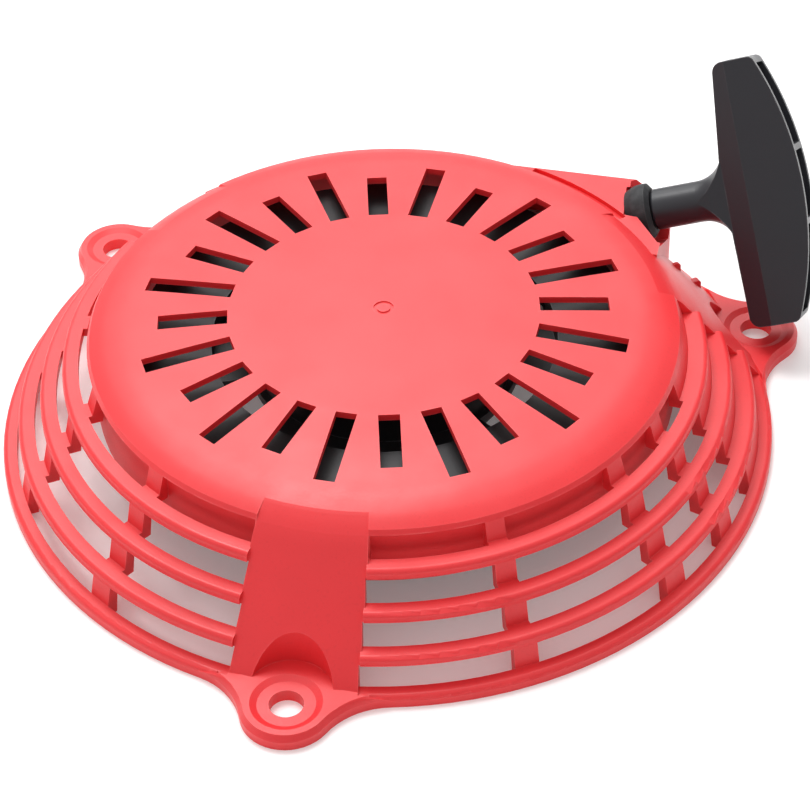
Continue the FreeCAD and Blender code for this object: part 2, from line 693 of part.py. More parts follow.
def groove_low():
    """Height of the lower side of the rope groove."""
    return d.rope_height - d.groove_width * 0.5


def groove_high():
    """Height of the upper side of the rope groove."""
    return d.rope_height + d.groove_width * 0.5


def make_reel():
    """The rope reel: hub, spring drum, windowed web, rope groove and two pawl pivots."""
    body = new_body("reel")
    web_low = groove_low() - d.reel_flange
    rim = d.reel_floor - d.reel_flange
    bore = d.post_radius + d.running_gap
    section = new_sketch(body, "XZ_Plane", "reel_section")
    draw_loop(section, [(bore, d.hub_bottom), (d.hub_radius, d.hub_bottom), (d.hub_radius, d.drum_bottom),
                        (d.drum_radius, d.drum_bottom), (d.drum_radius + 0.6, web_low),
                        (d.reel_radius, web_low), (d.reel_radius, groove_low()),
                        (d.reel_floor, groove_low()), (d.reel_floor, groove_high()),
                        (d.reel_radius, groove_high()), (d.reel_radius, groove_high() + d.reel_flange),
                        (rim, groove_high() + d.reel_flange), (rim, groove_low()),
                        (d.drum_radius, groove_low()), (d.drum_radius, d.drum_top),
                        (d.drum_inner, d.drum_top), (d.drum_inner, d.drum_floor), (bore, d.drum_floor)])
    spin(body, section, "reel_turned")

    window = new_sketch(body, "XZ_Plane", "window_section", turned(d.window_centre.value))
    draw_box(window, d.window_inner, web_low - 1, d.window_outer - 1.2, groove_low() + 1)
    cut = spin(body, window, "window", kind="Groove", Angle=d.window_angle, Midplane=True)
    ring_pattern(body, [cut], "windows", 3)

    for name, side in (("first", 1), ("second", -1)):
        plan = new_sketch(body, "XY_Plane", f"{name}_pivot_plan")
        level(plan, d.pawl_bottom - 0.3)
        draw_circle(plan, d.pawl_pivot * side, 0, d.pawl_boss)
        feature(body, "Pad", plan, f"{name}_pivot", Length=d.drum_bottom - d.pawl_bottom + 1.0)

    plan = new_sketch(body, "XY_Plane", "spring_notch_plan")
    level(plan, d.drum_floor + 0.2)
    draw_box(plan, -0.9, d.drum_inner - 1, 0.9, d.drum_radius + 1)
    feature(body, "Pocket", plan, "spring_notch", Length=20.0, Reversed=True)

    swing = Rotation(Vector(0, 0, 1), rope_turns()[1])
    side = Placement(swing.multVec(Vector(38, 0, d.rope_height.value)), swing * Rotation(Vector(0, 1, 0), 90))
    hole = new_sketch(body, "XY_Plane", "knot_hole_plan", side)
    draw_circle(hole, 0, 0, d.rope_radius + 0.15)
    feature(body, "Pocket", hole, "knot_hole", Length=d.reel_floor - 36, Reversed=True)
    pocket = new_sketch(body, "XY_Plane", "knot_pocket_plan", Placement(Vector(0, 0, 15), swing))
    draw_circle(pocket, d.knot_centre, 0, d.knot_radius + 0.1)
    feature(body, "Pocket", pocket, "knot_pocket", Length=20.0, Reversed=True)


def spiral(inner, outer, turns, height, start=0.0):
    """A flat spiral curve about the Z axis."""
    count = int(abs(turns) * 24) + 1
    points = []
    for k in range(count):
        share = k / (count - 1)
        radius = inner + (outer - inner) * share
        angle = math.radians(start) + 2 * math.pi * turns * share
        points.append(Vector(radius * math.cos(angle), radius * math.sin(angle), height))
    curve = Part.BSplineCurve()
    curve.interpolate(points)
    return curve, points


def add_shape(label, shape):
    """Stores a shape that no bound feature fits as one named piece."""
    piece = doc.addObject("Part::Feature", label)
    piece.Label = label
    piece.Shape = shape
    PARTS.append(piece)
    return piece


def make_recoil_spring():
    """Flat spiral spring: inner end hooked in the post, outer end hooked through the drum wall."""
    thick = d.spring_thick.value
    base = d.drum_floor.value + 0.7
    turns = d.spring_turns.value + 0.25
    inner = spiral(d.spring_inner.value, d.spring_outer.value, turns, base)
    outer = spiral(d.spring_inner.value + thick, d.spring_outer.value + thick, turns, base)
    loop = [inner[0].toShape(), Part.makeLine(inner[1][-1], outer[1][-1]), outer[0].toShape(),
            Part.makeLine(outer[1][0], inner[1][0])]
    strip = Part.Face(Part.Wire(Part.__sortEdges__(loop))).extrude(Vector(0, 0, d.spring_width.value))
    width = d.spring_width.value
    hook = Part.makeBox(d.spring_inner.value + 0.6 - 6.2, thick, width, Vector(6.2, -thick / 2, base))
    end = d.spring_outer.value
    tail = Part.makeBox(thick, d.drum_radius.value + 0.3 - end, width, Vector(-thick / 2, end + 0.3, base))
    add_shape("recoil_spring", strip.fuse([hook, tail]).removeSplitter())


def rope_turns():
    """Turns of rope on the reel, and the direction from the axis in which its inner end lies."""
    turns = (d.rope_outer.value - d.rope_inner.value) / d.rope_pitch.value
    return turns, 90 + d.exit_yaw.value + 360 * turns


def make_rope_coil():
    """The turns of rope lying on the reel, ending where the rope leaves for the outlet."""
    turns, start = rope_turns()
    curve, points = spiral(d.rope_inner.value, d.rope_outer.value, -turns, d.rope_height.value, start)
    heading = curve.tangent(curve.FirstParameter)[0]
    section = Part.Wire(Part.Circle(points[0], heading, d.rope_radius.value).toShape())
    add_shape("rope_coil", Part.Wire(curve.toShape()).makePipeShell([section], True, True))


def make_reel_knot():
    """The knot that holds the inner end of the rope behind the groove wall."""
    swing = Rotation(Vector(0, 0, 1), rope_turns()[1])
    body = new_body("rope_knot_reel", Placement(Vector(0, 0, d.rope_height.value), swing))
    section = new_sketch(body, "XZ_Plane", "knot_section")
    back = d.knot_centre - d.knot_radius
    curl = d.knot_radius - 1.4
    draw_loop(section, [(back, 0), (back, 1.4, -curl), (back + curl, d.knot_radius),
                        (d.knot_centre + 1.2, d.knot_radius, -curl), (d.knot_centre + 2.75, d.rope_radius),
                        (d.reel_floor - 0.2, d.rope_radius), (d.reel_floor - 0.2, 0)])
    spin(body, section, "knot", axis="H_Axis")


# ---------------------------------------------------------------- ratchet

def make_pawl(label, swing):
    """One pawl, hinged on the reel, with its cam pin reaching down into the guide."""
    body = new_body(label, Placement(Vector(), Rotation(Vector(0, 0, 1), swing)))
    plan = new_sketch(body, "XY_Plane", "pawl_plan")
    level(plan, d.pawl_bottom)
    x = d.pawl_pivot
    draw_loop(plan, [(x - 4.2, 1.8), (x - 1.8, 4.2), (x + 2.4, 4.2), (x + 4.6, 1.2), (x + 4.8, -8.0),
                     (x + 5.2, -14.6), (x + 3.8, -15.9), (x + 0.8, -16.0), (x - 0.8, -13.4), (x - 5.4, -8.6),
                     (x - 5.4, -4.2)])
    feature(body, "Pad", plan, "blade", Length=d.pawl_thick)
    plan = new_sketch(body, "XY_Plane", "pin_plan")
    level(plan, d.guide_bottom + 0.9)
    draw_circle(plan, x - 3.0, -6.0, d.pin_radius)
    feature(body, "Pad", plan, "pin", Length=d.pawl_bottom - d.guide_bottom)
    plan = new_sketch(body, "XY_Plane", "eye_plan")
    level(plan, d.pawl_bottom - 1)
    draw_circle(plan, x, 0, d.pawl_boss + d.running_gap)
    feature(body, "Pocket", plan, "eye", Length=10.0, Reversed=True)


def make_pawl_spring(label, swing):
    """Light spring round a pawl pivot: an open ring of wire with one leg each way."""
    ring, wire = 3.5, d.fine_wire.value
    centre = Vector(d.pawl_pivot.value, 0, d.pawl_bottom.value + d.pawl_thick.value + 1.0)
    shape = Part.makeTorus(ring, wire, centre, Vector(0, 0, 1), 0, 360, 300)
    for angle, lean in ((0, -90), (300, 60)):
        start = centre + Vector(math.cos(math.radians(angle)), math.sin(math.radians(angle)), 0) * ring
        heading = Vector(math.cos(math.radians(lean)), math.sin(math.radians(lean)), 0)
        shape = shape.fuse([Part.makeSphere(wire, start), Part.makeCylinder(wire, 5.0, start, heading)])
    piece = add_shape(label, shape.removeSplitter())
    piece.Placement = Placement(Vector(), Rotation(Vector(0, 0, 1), swing))


def guide_track():
    """Where a pawl pin starts and ends in the guide as the guide turns and the pawl swings out."""
    pivot = Vector(d.pawl_pivot.value, 0, 0)
    arm = Vector(-3.0, -6.0, 0)
    swung = Rotation(Vector(0, 0, 1), d.pawl_swing.value).multVec(arm)
    end = Rotation(Vector(0, 0, 1), -d.guide_swing.value).multVec(pivot + swung)
    return pivot + arm, end


def make_guide():
    """Ratchet guide: a moulded disc on the end of the post with a cam track for each pawl pin."""
    body = new_body("ratchet_guide")
    low, high = d.guide_bottom, d.guide_bottom + d.guide_thick
    bore = d.post_end_radius + d.running_gap
    ring = d.friction_ring
    section = new_sketch(body, "XZ_Plane", "guide_section")
    draw_loop(section, [(bore, low), (ring - 0.9, low), (ring - 0.9, low + 1.7), (ring + 0.9, low + 1.7),
                        (ring + 0.9, low), (14.0, low), (15.0, low + 1.2), (d.guide_radius - 0.6, low + 1.2),
                        (d.guide_radius, low + 1.8), (d.guide_radius, high), (bore, high)])
    spin(body, section, "disc")
    start, end = guide_track()
    along = (end - start).normalize()
    middle = (start + end) * 0.5 + Vector(0.96, -0.28, 0) * 0.33
    half = (end - start).Length / 2
    reach = d.pin_radius.value + 0.7
    for name, swing in (("first", 0), ("second", 180)):
        turn = math.degrees(math.atan2(along.y, along.x)) + swing
        centre = Rotation(Vector(0, 0, 1), swing).multVec(middle)
        plan = new_sketch(body, "XY_Plane", f"{name}_track_plan",
                          Placement(centre, Rotation(Vector(0, 0, 1), turn)))
        draw_loop(plan, [(-half, -reach), (half, -reach, reach), (half, reach), (-half, reach, reach)])
        feature(body, "Pocket", plan, f"{name}_track", Length=20.0, Reversed=True)


def make_friction_spring():
    """Open wire ring that drags on the guide."""
    ring = doc.addObject("Part::Torus", "friction_spring")
    ring.Label = "friction_spring"
    for name, size in (("Radius1", d.friction_ring), ("Radius2", d.wire_radius)):
        ring.setExpression(name, size.text)
    ring.Angle3 = 318
    ring.setExpression("Placement.Base.z", (d.guide_bottom + 0.85).text)
    PARTS.append(ring)


# ---------------------------------------------------------------- rope outlet and grip

def make_bush():
    """Flared bush that lines the rope outlet and seats the nose of the grip."""
    body = new_body("outlet_bush", GRIP_FRAME)
    section = new_sketch(body, "XZ_Plane", "bush_section")
    bore = d.rope_radius + 0.5
    draw_loop(section, [(-9, bore + 0.6), (-8.4, bore), (1.6, bore), (2.2, bore + 0.6), (2.2, d.bush_radius - 1.3),
                        (1.2, d.bush_radius, 9.0), (-2.3, d.bush_radius - 0.3), (-4.3, d.bush_radius - 1.3),
                        (-4.3, d.bush_neck), (-9, d.bush_neck)])
    spin(body, section, "bush", axis="H_Axis")


def make_rope_lead():
    """The stretch of rope from the reel to the outlet, bent once inside the duct."""
    radius = d.rope_radius.value
    yaw = math.radians(d.exit_yaw.value)
    leave = Vector(-math.sin(yaw), math.cos(yaw), 0) * d.rope_outer.value
    leave.z = d.rope_height.value
    bend = OUTLET - ALONG * ((d.exit_z.value - d.rope_height.value) / ALONG.z)
    seam = OUTLET - ALONG * 1.0
    first = Part.makeCylinder(radius, (bend - leave).Length, leave, bend - leave)
    last = Part.makeCylinder(radius, (seam - bend).Length, bend, seam - bend)
    add_shape("rope_lead", first.fuse([Part.makeSphere(radius, bend), last]).removeSplitter())


def on_rope(label, kind, start, **sizes):
    """A round Part primitive lying on the rope line beyond the outlet."""
    piece = doc.addObject(f"Part::{kind}", label)
    piece.Label = label
    for name, size in sizes.items():
        piece.setExpression(name, sized(size).text)
    piece.Placement = outlet_offset(start)
    PARTS.append(piece)


def make_rope_tail():
    """Rope inside the grip, its knot, and the washer the knot pulls against."""
    on_rope("rope_tail", "Cylinder", -1.0, Radius=d.rope_radius, Height=d.grip_floor + 2.85)
    on_rope("grip_knot", "Sphere", d.grip_floor.value + 5.2, Radius=3.3)
    washer = new_body("grip_washer", GRIP_FRAME)
    section = new_sketch(washer, "XZ_Plane", "grip_washer_section")
    draw_box(section, d.grip_floor + 0.05, d.rope_radius + 0.3, d.grip_floor + 1.25, 4.6)
    spin(washer, section, "washer", axis="H_Axis")


def grip_outline():
    """Side view of the bar: straight front, arched back, rounded tips."""
    half = d.grip_half
    tip = half - 2.6
    rise = d.grip_back.value - d.grip_tip_back.value
    arch = (half.value ** 2 + rise ** 2) / (2 * rise)
    high, low, back = d.grip_tip_front, d.grip_low_front, d.grip_tip_back
    return [(d.grip_front, 0), (d.grip_front, -9.5), (low - 0.4, -tip, 2.8), (low + 2.2, -half),
            (back - 1.6, -half, 1.9), (back + 0.4, -half + 1.4, arch), (back + 0.4, half - 1.4, 1.9),
            (back - 1.6, half), (high + 2.2, half, 2.8), (high - 0.4, tip), (d.grip_front, 9.5)]


def make_grip():
    """T grip: round stem flared into a bar that is hollow from behind, with two ribs across the hollow."""
    body = new_body("grip", GRIP_FRAME)
    bar = new_sketch(body, "XZ_Plane", "bar_outline")
    draw_loop(bar, grip_outline())
    feature(body, "Pad", bar, "bar", Length=d.grip_thick, SideType="Symmetric")

    stem = new_sketch(body, "XZ_Plane", "stem_section")
    flare = d.stem_flare
    draw_loop(stem, [(d.grip_start, 0), (d.grip_front + 4, 0), (d.grip_front + 4, d.stem_radius + flare),
                     (d.grip_front + 0.6, d.stem_radius + flare, -flare),
                     (d.grip_front + 0.6 - flare, d.stem_radius), (d.grip_start + 0.8, d.stem_radius, 0.8),
                     (d.grip_start, d.stem_radius - 0.8)])
    spin(body, stem, "stem", axis="H_Axis")

    for name, side in (("near", 1), ("far", -1)):
        half = d.grip_thick * 0.5
        bevel = new_sketch(body, "XY_Plane", f"{name}_bevel", Placement(Vector(0, 0, -60), Rotation()))
        loop = [(4, d.stem_radius * side), (d.grip_front - 4, d.stem_radius * side),
                (d.grip_front + 0.3, d.grip_nose * 0.5 * side), (d.grip_front + d.grip_crease, half * side),
                (50, half * side), (50, 20 * side), (4, 20 * side)]
        draw_loop(bevel, loop if side > 0 else loop[::-1])
        feature(body, "Pocket", bevel, f"{name}_face", Length=120.0, Reversed=True)

    hollow = new_sketch(body, "YZ_Plane", "hollow_plan")
    hollow.setExpression("AttachmentOffset.Base.z", d.grip_floor.text)
    wide = d.grip_thick * 0.5 - d.grip_wall
    tip = d.grip_half - d.grip_wall
    for low, high in ((-tip, -10.2), (-8.6, 8.6), (10.2, tip)):
        draw_box(hollow, -wide, low, wide, high)
    feature(body, "Pocket", hollow, "hollow", Length=30.0, Reversed=True)

    bore = new_sketch(body, "YZ_Plane", "bore_plan")
    draw_circle(bore, 0, 0, d.rope_radius + 0.3)
    feature(body, "Pocket", bore, "rope_bore", Length=60.0, Reversed=True)


def check_parts():
    """Stops if any object failed or any piece isn't one clean solid."""
    for thing in doc.Objects:
        if {"Invalid", "Error"} & set(thing.State):
            raise RuntimeError(f"{thing.Label} failed: {thing.State}")
    for piece in PARTS:
        shape = piece.Shape
        if shape.isNull() or not shape.isValid() or len(shape.Solids) != 1:
            raise RuntimeError(f"{piece.Label} is not one valid solid")


make_housing()
make_insert()
make_screw()
make_washer()
make_reel()
make_recoil_spring()
make_rope_coil()
make_reel_knot()
for suffix, half_turn in (("a", 0), ("b", 180)):
    make_pawl(f"pawl_{suffix}", half_turn)
    make_pawl_spring(f"pawl_spring_{suffix}", half_turn)
make_guide()
make_friction_spring()
make_bush()
make_rope_lead()
make_rope_tail()
make_grip()
doc.recompute()
check_parts()
os.makedirs("parts", exist_ok=True)
for piece in PARTS:
    piece.Shape.exportStep(f"parts/{piece.Label}.step")
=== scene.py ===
import json
import math

import bpy
import numpy as np
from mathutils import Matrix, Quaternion, Vector


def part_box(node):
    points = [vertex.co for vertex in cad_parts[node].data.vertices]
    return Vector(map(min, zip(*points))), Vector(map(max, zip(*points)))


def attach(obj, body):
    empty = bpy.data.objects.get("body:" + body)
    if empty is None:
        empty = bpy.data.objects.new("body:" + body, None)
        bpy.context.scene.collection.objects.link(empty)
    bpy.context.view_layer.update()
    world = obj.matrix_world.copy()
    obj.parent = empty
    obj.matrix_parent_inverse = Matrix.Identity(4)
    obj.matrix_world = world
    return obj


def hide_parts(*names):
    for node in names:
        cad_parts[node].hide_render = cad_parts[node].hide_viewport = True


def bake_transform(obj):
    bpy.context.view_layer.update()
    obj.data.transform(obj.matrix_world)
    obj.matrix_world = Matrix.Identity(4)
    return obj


# Looks for a recoil starter. Every length is in metres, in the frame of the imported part:
# origin in the middle of the mounting face, +Z up along the crank axis.

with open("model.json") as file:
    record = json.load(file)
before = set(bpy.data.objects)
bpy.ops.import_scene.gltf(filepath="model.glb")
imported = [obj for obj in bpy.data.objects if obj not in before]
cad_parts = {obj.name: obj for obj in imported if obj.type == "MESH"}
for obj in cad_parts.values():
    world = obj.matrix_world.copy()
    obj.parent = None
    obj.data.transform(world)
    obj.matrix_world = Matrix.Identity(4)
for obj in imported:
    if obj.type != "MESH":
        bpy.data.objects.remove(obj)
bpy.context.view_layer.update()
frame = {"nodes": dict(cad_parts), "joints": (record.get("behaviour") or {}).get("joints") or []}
nodes = frame["nodes"]
joints = {joint["name"]: joint for joint in frame["joints"]}

ROPE_RADIUS = 0.00175
ROPE_PITCH = 0.0036          # spacing of the turns on the reel
ROPE_FIRST_TURN = 0.0464     # radius of the innermost turn
ROPE_LAST_TURN = 0.0566      # radius of the outermost turn
RING_SPACING = 0.00045       # spacing of the cross sections of a rope
RING_POINTS = 28
STRANDS = 4                  # strands of the braid that lean each way
BRAID_PITCH = 0.0095         # length of rope in which a strand goes once round

ROPE_BEND = 0.004            # length on each side of the bend in the duct that is rounded
ROPE_PACKED = 0.022          # length in which the rope to the grip is packed at rest
KNOT_ROPE = 0.46             # radius of the rope in a knot, as a share of the knot's size
GRIP_KNOT_SIZE = 0.0030
REEL_KNOT_SIZE = 0.0025

BEVEL_ANGLE = 50             # edges sharper than this many degrees are rounded

VIEW_AZIMUTH = 13.87         # degrees, as are the next two
VIEW_ELEVATION = 41.75
VIEW_ROLL = -1.67
VIEW_DISTANCE = 0.6338
VIEW_AIM = Vector((0.0082, -0.0143, 0.0193))
VIEW_LENS = 116.0            # millimetres

BRIGHTEST_SIDE = (-0.30, 0.02, 0.75)     # direction in which the white surroundings are brightest
DIMMEST, BRIGHTEST = 0.26, 1.10          # how bright they are at their two extremes


# ---------------------------------------------------------------- materials

class Graph:
    """One material's node tree, with short calls for the nodes used here."""

    def __init__(self, name):
        self.material = bpy.data.materials.new(name)
        self.material.use_nodes = True
        self.tree = self.material.node_tree
        self.shader = next(n for n in self.tree.nodes if n.type == "BSDF_PRINCIPLED")
        self.place = self.add("ShaderNodeTexCoord").outputs["Object"]

    def add(self, kind, **settings):
        node = self.tree.nodes.new(kind)
        for name, value in settings.items():
            setattr(node, name, value)
        return node

    def feed(self, socket, value):
        """Links an output to a socket, or sets the socket to a plain value."""
        if isinstance(value, bpy.types.NodeSocket):
            self.tree.links.new(value, socket)
        else:
            socket.default_value = value

    def set(self, **values):
        """Feeds inputs of the shader; underscores stand for spaces."""
        for name, value in values.items():
            self.feed(self.shader.inputs[name.replace("_", " ")], value)

    def maths(self, operation, first, second=0.0, third=0.0):
        node = self.add("ShaderNodeMath", operation=operation)
        for socket, value in zip(node.inputs, (first, second, third)):
            self.feed(socket, value)
        return node.outputs[0]

    def noise(self, scale, detail=2.0, stretch=(1, 1, 1), place=None):
        """Soft random pattern between 0 and 1, with scale blotches to the metre."""
        mapping = self.add("ShaderNodeMapping")
        self.feed(mapping.inputs["Vector"], place or self.place)
        mapping.inputs["Scale"].default_value = stretch
        node = self.add("ShaderNodeTexNoise")
        self.feed(node.inputs["Vector"], mapping.outputs["Vector"])
        node.inputs["Scale"].default_value = scale
        node.inputs["Detail"].default_value = detail
        return node.outputs["Fac"]

    def spread(self, value, low, high, to_low=0.0, to_high=1.0):
        """Maps a value from one range to another and stops at the ends."""
        node = self.add("ShaderNodeMapRange")
        for socket, number in zip(node.inputs, (value, low, high, to_low, to_high)):
            self.feed(socket, number)
        return node.outputs[0]

    def mix(self, share, first, second):
        """Mixes two colours."""
        node = self.add("ShaderNodeMix", data_type="RGBA")
        for index, value in ((0, share), (6, first), (7, second)):
            self.feed(node.inputs[index], value)
        return node.outputs[2]

    def edges(self, width):
        """1 along sharp edges and 0 on open faces."""
        bevel = self.add("ShaderNodeBevel", samples=4)
        bevel.inputs["Radius"].default_value = width
        facing = self.add("ShaderNodeNewGeometry").outputs["Normal"]
        dot = self.add("ShaderNodeVectorMath", operation="DOT_PRODUCT")
        self.feed(dot.inputs[0], bevel.outputs["Normal"])
        self.feed(dot.inputs[1], facing)
        return self.spread(dot.outputs["Value"], 0.99, 0.88)

    def rings(self):
        """Coordinates that run with the distance from the Z axis, for turned and pressed metal."""
        split = self.add("ShaderNodeSeparateXYZ")
        self.feed(split.inputs[0], self.place)
        x, y, z = split.outputs
        squares = self.maths("MULTIPLY", x, x), self.maths("MULTIPLY", y, y)
        across = self.maths("SQRT", self.maths("ADD", *squares))
        joined = self.add("ShaderNodeCombineXYZ")
        self.feed(joined.inputs[0], across)
        self.feed(joined.inputs[1], z)
        return joined.outputs[0]

    def bump(self, *layers):
        """Stacks bumps, each given as (height pattern, depth in metres), onto the shader's normal."""
        normal = None
        for height, depth in layers:
            node = self.add("ShaderNodeBump")
            node.inputs["Distance"].default_value = depth
            self.feed(node.inputs["Height"], height)
            if normal is not None:
                self.feed(node.inputs["Normal"], normal)
            normal = node.outputs["Normal"]
        self.set(Normal=normal)


def shade(colour, factor):
    """The colour made lighter or darker, as four numbers."""
    return tuple(min(1.0, part * factor) for part in colour) + (1.0,)


def moulded_plastic(name, colour, worn, roughness, grain):
    """Moulded plastic: cloudy tone, fine pores, faint sink marks and scuffed edges."""
    g = Graph(name)
    cloud = g.spread(g.noise(26, 3), 0.3, 0.7)
    tone = g.mix(cloud, shade(colour, 0.94), shade(colour, 1.05))
    speck = g.spread(g.noise(1500, 2), 0.56, 0.72, 0.0, 0.35)
    tone = g.mix(speck, tone, shade(colour, 0.86))
    scuff = g.maths("MULTIPLY", g.edges(0.0005), g.spread(g.noise(210, 4), 0.38, 0.66, 0.05, 0.75))
    tone = g.mix(scuff, tone, shade(worn, 1.0))
    rough = g.spread(g.noise(75, 4), 0.3, 0.7, roughness - 0.04, roughness + 0.06)
    fine = g.spread(g.noise(2600, 2), 0.3, 0.7, -0.03, 0.03)
    rough = g.maths("ADD", g.maths("ADD", rough, fine), g.maths("MULTIPLY", scuff, 0.12))
    g.set(Base_Color=tone, Roughness=rough, IOR=1.49)
    g.bump((g.noise(45, 2), 0.00025), (g.noise(3400, 3), grain))
    return g


def red_plastic():
    """The housing's satin red, with a little light carried under the surface."""
    g = moulded_plastic("red_plastic", (0.80, 0.030, 0.036), (0.90, 0.13, 0.13), 0.40, 0.000012)
    g.set(Subsurface_Weight=0.10, Subsurface_Radius=(0.0012, 0.0003, 0.0003), Subsurface_Scale=1.0)
    return g.material


def black_plastic(name, colour, roughness, grain):
    """Black moulding, scuffed to grey."""
    return moulded_plastic(name, colour, (0.16, 0.16, 0.17), roughness, grain).material


def rubber():
    """Matt black rubber with a dusty bloom."""
    g = Graph("matt_rubber")
    bloom = g.spread(g.noise(420, 5), 0.45, 0.75, 0.0, 0.6)
    tone = g.mix(bloom, (0.016, 0.016, 0.018, 1), (0.05, 0.05, 0.054, 1))
    scuff = g.maths("MULTIPLY", g.edges(0.0004), 0.4)
    g.set(Base_Color=g.mix(scuff, tone, (0.10, 0.10, 0.10, 1)))
    g.set(Roughness=g.spread(g.noise(260, 3), 0.3, 0.7, 0.62, 0.8))
    g.bump((g.noise(5200, 3), 0.00002))
    return g.material


def metal(name, colour, roughness, stain, ringed=False):
    """Worked metal: fine tool lines, uneven sheen, dull stains and bright edges."""
    g = Graph(name)
    if ringed:
        lines = g.noise(9000, 2, (1, 0.2, 1), g.rings())
    else:
        lines = g.noise(5200, 2, (0.06, 1, 1))
    patch = g.spread(g.noise(190, 4), 0.45, 0.7)
    tone = g.mix(g.maths("MULTIPLY", patch, 0.55), shade(colour, 1.0), shade(stain, 1.0))
    tone = g.mix(g.maths("MULTIPLY", lines, 0.25), tone, shade(colour, 0.7))
    tone = g.mix(g.maths("MULTIPLY", g.edges(0.0002), 0.6), tone, shade(colour, 1.35))
    rough = g.maths("ADD", g.spread(lines, 0.3, 0.7, roughness - 0.07, roughness + 0.07),
                    g.maths("MULTIPLY", patch, 0.12))
    g.set(Base_Color=tone, Metallic=1.0, Roughness=rough)
    g.bump((lines, 0.000008))
    return g.material


def rope_fibre():
    """Off-white braided nylon with fine fibres, a soft sheen and grey handling marks."""
    g = Graph("rope_fibre")
    fibres = g.noise(7000, 3, (1, 0.35, 0.35))
    soiled = g.spread(g.noise(120, 4), 0.48, 0.75, 0.0, 0.5)
    tone = g.mix(g.spread(fibres, 0.3, 0.7), (0.62, 0.60, 0.55, 1), (0.86, 0.85, 0.80, 1))
    g.set(Base_Color=g.mix(soiled, tone, (0.36, 0.35, 0.33, 1)))
    g.set(Roughness=g.spread(fibres, 0.2, 0.8, 0.62, 0.85), Sheen_Weight=0.35, Sheen_Roughness=0.4)
    g.bump((fibres, 0.00004))
    return g.material


def floor_paper():
    """Bright paper lit a little from below, with a barely visible tooth."""
    g = Graph("floor_paper")
    tooth = g.noise(900, 3)
    g.set(Base_Color=g.mix(tooth, (0.90, 0.90, 0.90, 1), (0.93, 0.93, 0.93, 1)), Roughness=0.9)
    g.set(Emission_Color=(1.0, 1.0, 1.0, 1), Emission_Strength=0.14)
    g.bump((tooth, 0.00002))
    return g.material


# ---------------------------------------------------------------- ropes

def braid_height(angle, distance):
    """Height of the braid between 0 and 1: two families of strands that pass over and under."""
    lean = 2 * math.pi * STRANDS * distance / BRAID_PITCH
    left = (STRANDS * angle + lean) / 2
    right = (STRANDS * angle - lean) / 2
    over = np.cos(left) * np.cos(right)
    return np.maximum(np.abs(np.cos(left)) * (0.78 + 0.22 * over),
                      np.abs(np.cos(right)) * (0.78 - 0.22 * over))


def sections(path):
    """For each point of a path: its distance along the path, and two unit vectors across it."""
    heading = np.gradient(path, axis=0)
    steps = np.linalg.norm(np.diff(path, axis=0), axis=1)
    distance = np.concatenate([[0], np.cumsum(steps)])
    heading /= np.linalg.norm(heading, axis=1)[:, None]
    side = np.cross(heading[0], (0.0, 0.0, 1.0))
    sides = []
    for h in heading:
        side = side - h * (side @ h)
        side /= np.linalg.norm(side)
        sides.append(side)
    sides = np.array(sides)
    return distance, sides, np.cross(heading, sides)


def tube_faces(rings, points):
    """Quads between the rings of a tube, and one face on each end."""
    faces = []
    for i in range(rings - 1):
        for j in range(points):
            k = (j + 1) % points
            faces.append((i * points + j, i * points + k, (i + 1) * points + k, (i + 1) * points + j))
    faces.append(tuple(range(points))[::-1])
    faces.append(tuple((rings - 1) * points + j for j in range(points)))
    return faces


def new_piece(name, vertices, faces, material):
    """A smooth mesh object in the scene, with one material."""
    mesh = bpy.data.meshes.new(name)
    mesh.from_pydata([tuple(v) for v in vertices], [], faces)
    mesh.shade_smooth()
    mesh.materials.append(material)
    piece = bpy.data.objects.new(name, mesh)
    bpy.context.scene.collection.objects.link(piece)
    return piece


def braided_rope(name, path, material, radius=ROPE_RADIUS, distance=None):
    """A braided rope along a path. The braid follows the given distances, where they are given, in place
    of the lengths along the path.
    """
    along, across, up = sections(path)
    along = along if distance is None else distance
    angle = np.linspace(0, 2 * math.pi, RING_POINTS, endpoint=False)
    height = braid_height(angle[None, :], along[:, None])
    reach = radius * (0.86 + 0.14 * height)
    cosine, sine = np.cos(angle)[None, :, None], np.sin(angle)[None, :, None]
    ring = cosine * across[:, None, :] + sine * up[:, None, :]
    vertices = (path[:, None, :] + ring * reach[:, :, None]).reshape(-1, 3)
    return new_piece(name, vertices, tube_faces(len(path), RING_POINTS), material)


def resampled(corners, spacing):
    """Evenly spaced points along a line through the corners."""
    corners = np.array(corners, float)
    steps = np.linalg.norm(np.diff(corners, axis=0), axis=1)
    distance = np.concatenate([[0], np.cumsum(steps)])
    even = np.linspace(0, distance[-1], max(3, int(distance[-1] / spacing)))
    return np.column_stack([np.interp(even, distance, corners[:, i]) for i in range(3)])


def rope_axis():
    """The rope's direction out of the housing, and where the rope in the grip starts and ends."""
    along = Vector(joints["grip_pull"]["axis"]).normalized()
    low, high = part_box("rope_tail")
    length = (high.x - low.x - 2 * ROPE_RADIUS * math.sqrt(1 - along.x ** 2)) / along.x
    middle = (low + high) / 2
    return along, middle - along * length / 2, middle + along * length / 2


